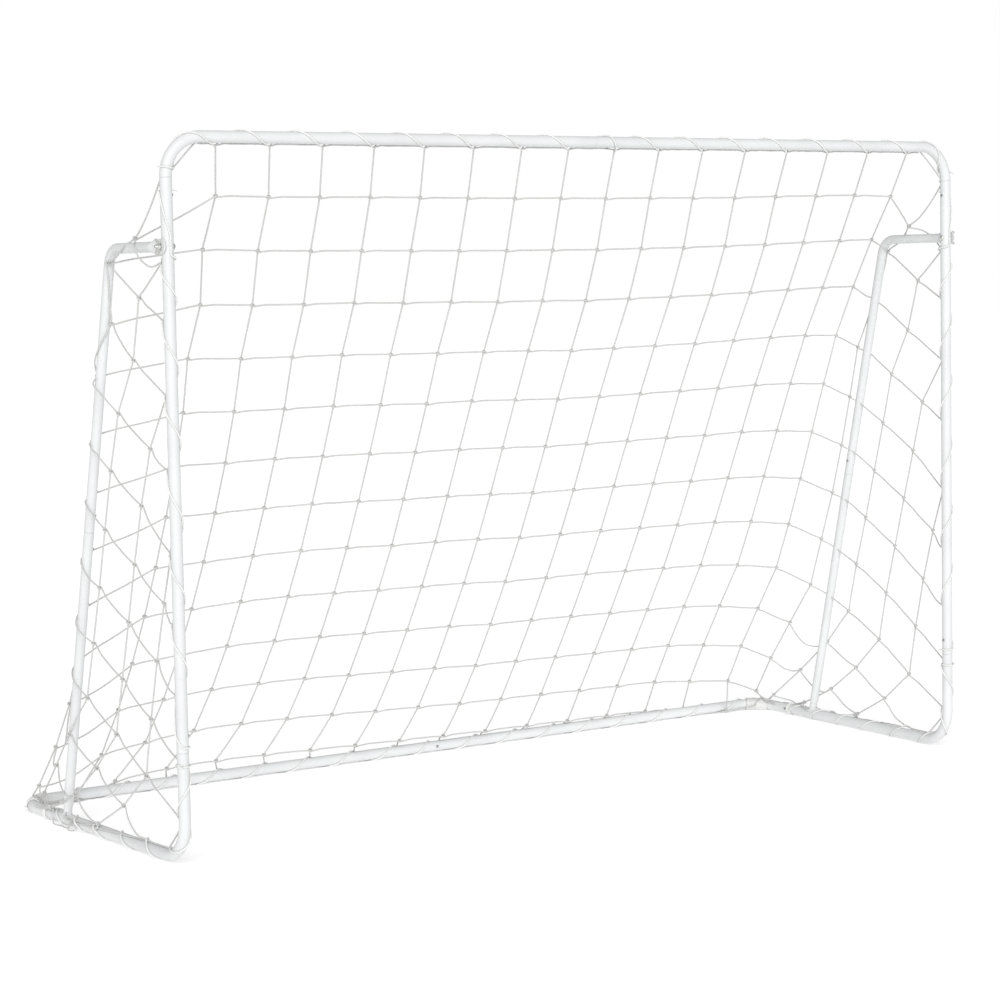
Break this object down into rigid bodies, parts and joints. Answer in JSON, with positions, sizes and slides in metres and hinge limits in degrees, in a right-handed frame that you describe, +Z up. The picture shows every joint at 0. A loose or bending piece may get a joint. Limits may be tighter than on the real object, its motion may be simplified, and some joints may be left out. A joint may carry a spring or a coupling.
{
  "type": "soccer goal frame",
  "caption": "Knock-down soccer goal of white round steel tube with angled side braces, spring-button joints, wing nuts and a laced knotted net.",
  "frame": {"origin": "on the ground, in the middle of the footprint", "axes": "+X along the crossbar to the right seen from in front, +Y from the mouth to the rear bar, +Z up"},
  "size_m": [2.1864, 0.813, 1.503],
  "materials": {
    "frame_coat": "semi-gloss white powder coat",
    "zinc": "zinc plated",
    "spring_steel": "blued spring steel",
    "net_cord": "twisted polyethylene cord"
  },
  "bodies": {
    "root": {"back_net": "net_cord", "crossbar_lacing_left": "net_cord", "crossbar_lacing_right": "net_cord", "left_base_lacing_front": "net_cord", "left_base_lacing_rear": "net_cord", "left_brace_bolt": "zinc", "left_brace_lower": "frame_coat", "left_brace_stub": "frame_coat", "left_brace_upper": "frame_coat", "left_crossbar_tube": "frame_coat", "left_post": "frame_coat", "left_post_lacing_lower": "net_cord", "left_post_lacing_upper": "net_cord", "left_rear_bar": "frame_coat", "left_side_base": "frame_coat", "left_side_net": "net_cord", "left_washer": "zinc", "rear_bar_lacing_left": "net_cord", "rear_bar_lacing_right": "net_cord", "right_base_lacing_front": "net_cord", "right_base_lacing_rear": "net_cord", "right_brace_bolt": "zinc", "right_brace_lower": "frame_coat", "right_brace_stub": "frame_coat", "right_brace_upper": "frame_coat", "right_crossbar_tube": "frame_coat", "right_post": "frame_coat", "right_post_lacing_lower": "net_cord", "right_post_lacing_upper": "net_cord", "right_rear_bar": "frame_coat", "right_side_base": "frame_coat", "right_side_net": "net_cord", "right_washer": "zinc"},
    "crossbar_button": {"crossbar_button": "spring_steel"},
    "rear_bar_button": {"rear_bar_button": "spring_steel"},
    "left_upper_post_button": {"left_upper_post_button": "spring_steel"},
    "left_lower_post_button": {"left_lower_post_button": "spring_steel"},
    "left_base_button": {"left_base_button": "spring_steel"},
    "left_brace_button": {"left_brace_button": "spring_steel"},
    "left_wing_nut": {"left_wing_nut": "zinc"},
    "right_upper_post_button": {"right_upper_post_button": "spring_steel"},
    "right_lower_post_button": {"right_lower_post_button": "spring_steel"},
    "right_base_button": {"right_base_button": "spring_steel"},
    "right_brace_button": {"right_brace_button": "spring_steel"},
    "right_wing_nut": {"right_wing_nut": "zinc"}
  },
  "joints": [
    {"name": "crossbar_button_press", "type": "slide", "parent": "root", "child": "crossbar_button", "axis": [0, 0, 1], "range_m": [0, 0.003], "stiffness_N_per_m": 3000, "springref_m": -0.002},
    {"name": "rear_bar_button_press", "type": "slide", "parent": "root", "child": "rear_bar_button", "axis": [0, 1, 0], "range_m": [0, 0.003], "stiffness_N_per_m": 3000, "springref_m": -0.002},
    {"name": "left_upper_post_button_press", "type": "slide", "parent": "root", "child": "left_upper_post_button", "axis": [-1, 0, 0], "range_m": [0, 0.003], "stiffness_N_per_m": 3000, "springref_m": -0.002},
    {"name": "left_lower_post_button_press", "type": "slide", "parent": "root", "child": "left_lower_post_button", "axis": [-1, 0, 0], "range_m": [0, 0.003], "stiffness_N_per_m": 3000, "springref_m": -0.002},
    {"name": "left_base_button_press", "type": "slide", "parent": "root", "child": "left_base_button", "axis": [-0.9993, -0.0384, 0], "range_m": [0, 0.003], "stiffness_N_per_m": 3000, "springref_m": -0.002},
    {"name": "left_brace_button_press", "type": "slide", "parent": "root", "child": "left_brace_button", "axis": [-1, -0.0012, 0.0051], "range_m": [0, 0.003], "stiffness_N_per_m": 3000, "springref_m": -0.002},
    {"name": "left_wing_nut_turn", "type": "hinge", "parent": "root", "child": "left_wing_nut", "pos_m": [-1.0726, -0.39, 1.2665], "axis": [-1, 0, 0], "continuous": true},
    {"name": "right_upper_post_button_press", "type": "slide", "parent": "root", "child": "right_upper_post_button", "axis": [1, 0, 0], "range_m": [0, 0.003], "stiffness_N_per_m": 3000, "springref_m": -0.002},
    {"name": "right_lower_post_button_press", "type": "slide", "parent": "root", "child": "right_lower_post_button", "axis": [1, 0, 0], "range_m": [0, 0.003], "stiffness_N_per_m": 3000, "springref_m": -0.002},
    {"name": "right_base_button_press", "type": "slide", "parent": "root", "child": "right_base_button", "axis": [0.9993, -0.0384, 0], "range_m": [0, 0.003], "stiffness_N_per_m": 3000, "springref_m": -0.002},
    {"name": "right_brace_button_press", "type": "slide", "parent": "root", "child": "right_brace_button", "axis": [1, -0.0012, 0.0051], "range_m": [0, 0.003], "stiffness_N_per_m": 3000, "springref_m": -0.002},
    {"name": "right_wing_nut_turn", "type": "hinge", "parent": "root", "child": "right_wing_nut", "pos_m": [1.0726, -0.39, 1.2665], "axis": [1, 0, 0], "continuous": true}
  ]
}
